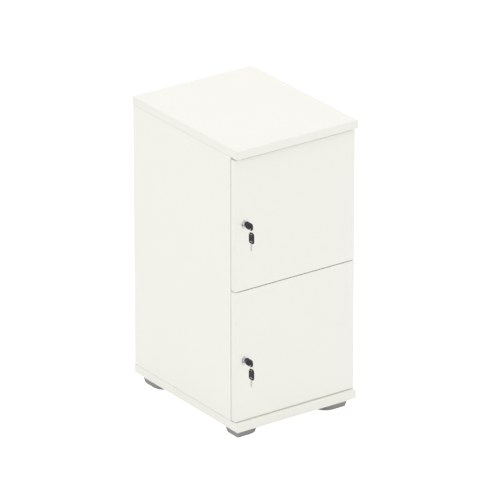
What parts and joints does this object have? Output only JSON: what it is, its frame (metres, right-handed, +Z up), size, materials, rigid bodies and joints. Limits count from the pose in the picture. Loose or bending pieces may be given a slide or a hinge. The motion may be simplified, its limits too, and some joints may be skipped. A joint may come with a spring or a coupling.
{
  "type": "locker",
  "caption": "White board locker with a hinged, lockable door on each compartment, keys in its cam locks and short round feet.",
  "frame": {"origin": "on the floor, under the middle of the locker's bounding box, keys included", "axes": "+X to the locker's right seen from the front, -Y out of the doors, +Z up"},
  "size_m": [0.35, 0.4618, 0.748],
  "materials": {
    "white_board": "white matt melamine",
    "grey_plastic": "moulded, satin",
    "black_plastic": "moulded, satin",
    "clear_rubber": "soft, translucent",
    "chrome": "polished plating",
    "zinc": "zinc plated",
    "steel": "nickel plated"
  },
  "bodies": {
    "carcass": {"top_panel": "white_board", "base_panel": "white_board", "side_panel_left": "white_board", "side_panel_right": "white_board", "middle_shelf": "white_board", "back_panel": "white_board", "foot_front_left": "grey_plastic", "foot_front_right": "grey_plastic", "foot_rear_left": "grey_plastic", "foot_rear_right": "grey_plastic", "upper_strike_plate": "steel", "upper_hinge_top_arm": "steel", "upper_hinge_bottom_arm": "steel", "upper_hinge_top_plate": "steel", "upper_hinge_bottom_plate": "steel", "lower_strike_plate": "steel", "lower_hinge_top_arm": "steel", "lower_hinge_bottom_arm": "steel", "lower_hinge_top_plate": "steel", "lower_hinge_bottom_plate": "steel"},
    "upper_outer_links": {"upper_hinge_top_outer_link": "steel", "upper_hinge_bottom_outer_link": "steel"},
    "upper_inner_links": {"upper_hinge_top_inner_link": "steel", "upper_hinge_bottom_inner_link": "steel"},
    "upper_door": {"upper_door": "white_board", "upper_bumper_top": "clear_rubber", "upper_bumper_bottom": "clear_rubber", "upper_hinge_top_cup": "steel", "upper_hinge_bottom_cup": "steel", "upper_lock_housing": "chrome", "upper_lock_plate": "zinc"},
    "upper_lock": {"upper_lock_plug": "chrome", "upper_lock_cam": "zinc", "upper_cam_screw": "steel"},
    "upper_key": {"upper_key_head": "black_plastic", "upper_key_blade": "steel"},
    "upper_ring": {"upper_key_ring": "steel"},
    "upper_spare_key": {"upper_spare_key_head": "black_plastic", "upper_spare_key_blade": "steel"},
    "lower_outer_links": {"lower_hinge_top_outer_link": "steel", "lower_hinge_bottom_outer_link": "steel"},
    "lower_inner_links": {"lower_hinge_top_inner_link": "steel", "lower_hinge_bottom_inner_link": "steel"},
    "lower_door": {"lower_door": "white_board", "lower_bumper_top": "clear_rubber", "lower_bumper_bottom": "clear_rubber", "lower_hinge_top_cup": "steel", "lower_hinge_bottom_cup": "steel", "lower_lock_housing": "chrome", "lower_lock_plate": "zinc"},
    "lower_lock": {"lower_lock_plug": "chrome", "lower_lock_cam": "zinc", "lower_cam_screw": "steel"},
    "lower_key": {"lower_key_head": "black_plastic", "lower_key_blade": "steel"},
    "lower_ring": {"lower_key_ring": "steel"},
    "lower_spare_key": {"lower_spare_key_head": "black_plastic", "lower_spare_key_blade": "steel"}
  },
  "joints": [
    {"name": "upper_outer_links_turn", "type": "hinge", "parent": "carcass", "child": "upper_outer_links", "pos_m": [0.1292, -0.17365, 0.5548], "axis": [0, 0, 1], "range_deg": [-30, 0]},
    {"name": "upper_door_hinge", "type": "hinge", "parent": "upper_outer_links", "child": "upper_door", "pos_m": [0.1617, -0.17945, 0.5548], "axis": [0, 0, 1], "range_deg": [0, 124.45]},
    {"name": "upper_inner_links_turn", "type": "hinge", "parent": "carcass", "child": "upper_inner_links", "pos_m": [0.1387, -0.18375, 0.5548], "axis": [0, 0, 1], "range_deg": [-40, 0]},
    {"name": "upper_lock_turn", "type": "hinge", "parent": "upper_door", "child": "upper_lock", "pos_m": [-0.146, -0.18, 0.556], "axis": [0, -1, 0], "range_deg": [0, 90]},
    {"name": "upper_key_pull", "type": "slide", "parent": "upper_lock", "child": "upper_key", "axis": [0, -1, 0], "range_m": [0, 0.03]},
    {"name": "upper_ring_swing", "type": "hinge", "parent": "upper_key", "child": "upper_ring", "pos_m": [-0.146, -0.22195, 0.549], "axis": [0, -1, 0], "range_deg": [-110, 20]},
    {"name": "upper_spare_key_swing", "type": "hinge", "parent": "upper_ring", "child": "upper_spare_key", "pos_m": [-0.146, -0.22195, 0.53865], "axis": [-1, 0, 0], "range_deg": [-30, 55]},
    {"name": "lower_outer_links_turn", "type": "hinge", "parent": "carcass", "child": "lower_outer_links", "pos_m": [0.1292, -0.17365, 0.2167], "axis": [0, 0, 1], "range_deg": [-30, 0]},
    {"name": "lower_door_hinge", "type": "hinge", "parent": "lower_outer_links", "child": "lower_door", "pos_m": [0.1617, -0.17945, 0.2167], "axis": [0, 0, 1], "range_deg": [0, 124.45]},
    {"name": "lower_inner_links_turn", "type": "hinge", "parent": "carcass", "child": "lower_inner_links", "pos_m": [0.1387, -0.18375, 0.2167], "axis": [0, 0, 1], "range_deg": [-40, 0]},
    {"name": "lower_lock_turn", "type": "hinge", "parent": "lower_door", "child": "lower_lock", "pos_m": [-0.146, -0.18, 0.205], "axis": [0, -1, 0], "range_deg": [0, 90]},
    {"name": "lower_key_pull", "type": "slide", "parent": "lower_lock", "child": "lower_key", "axis": [0, -1, 0], "range_m": [0, 0.03]},
    {"name": "lower_ring_swing", "type": "hinge", "parent": "lower_key", "child": "lower_ring", "pos_m": [-0.146, -0.22195, 0.198], "axis": [0, -1, 0], "range_deg": [-110, 20]},
    {"name": "lower_spare_key_swing", "type": "hinge", "parent": "lower_ring", "child": "lower_spare_key", "pos_m": [-0.146, -0.22195, 0.18765], "axis": [-1, 0, 0], "range_deg": [-30, 55]}
  ],
  "couplings": [
    {"joint": "upper_outer_links_turn", "follows": "upper_door_hinge", "ratio": -0.23664},
    {"joint": "upper_inner_links_turn", "follows": "upper_door_hinge", "ratio": -0.31298},
    {"joint": "lower_outer_links_turn", "follows": "lower_door_hinge", "ratio": -0.23664},
    {"joint": "lower_inner_links_turn", "follows": "lower_door_hinge", "ratio": -0.31298}
  ]
}
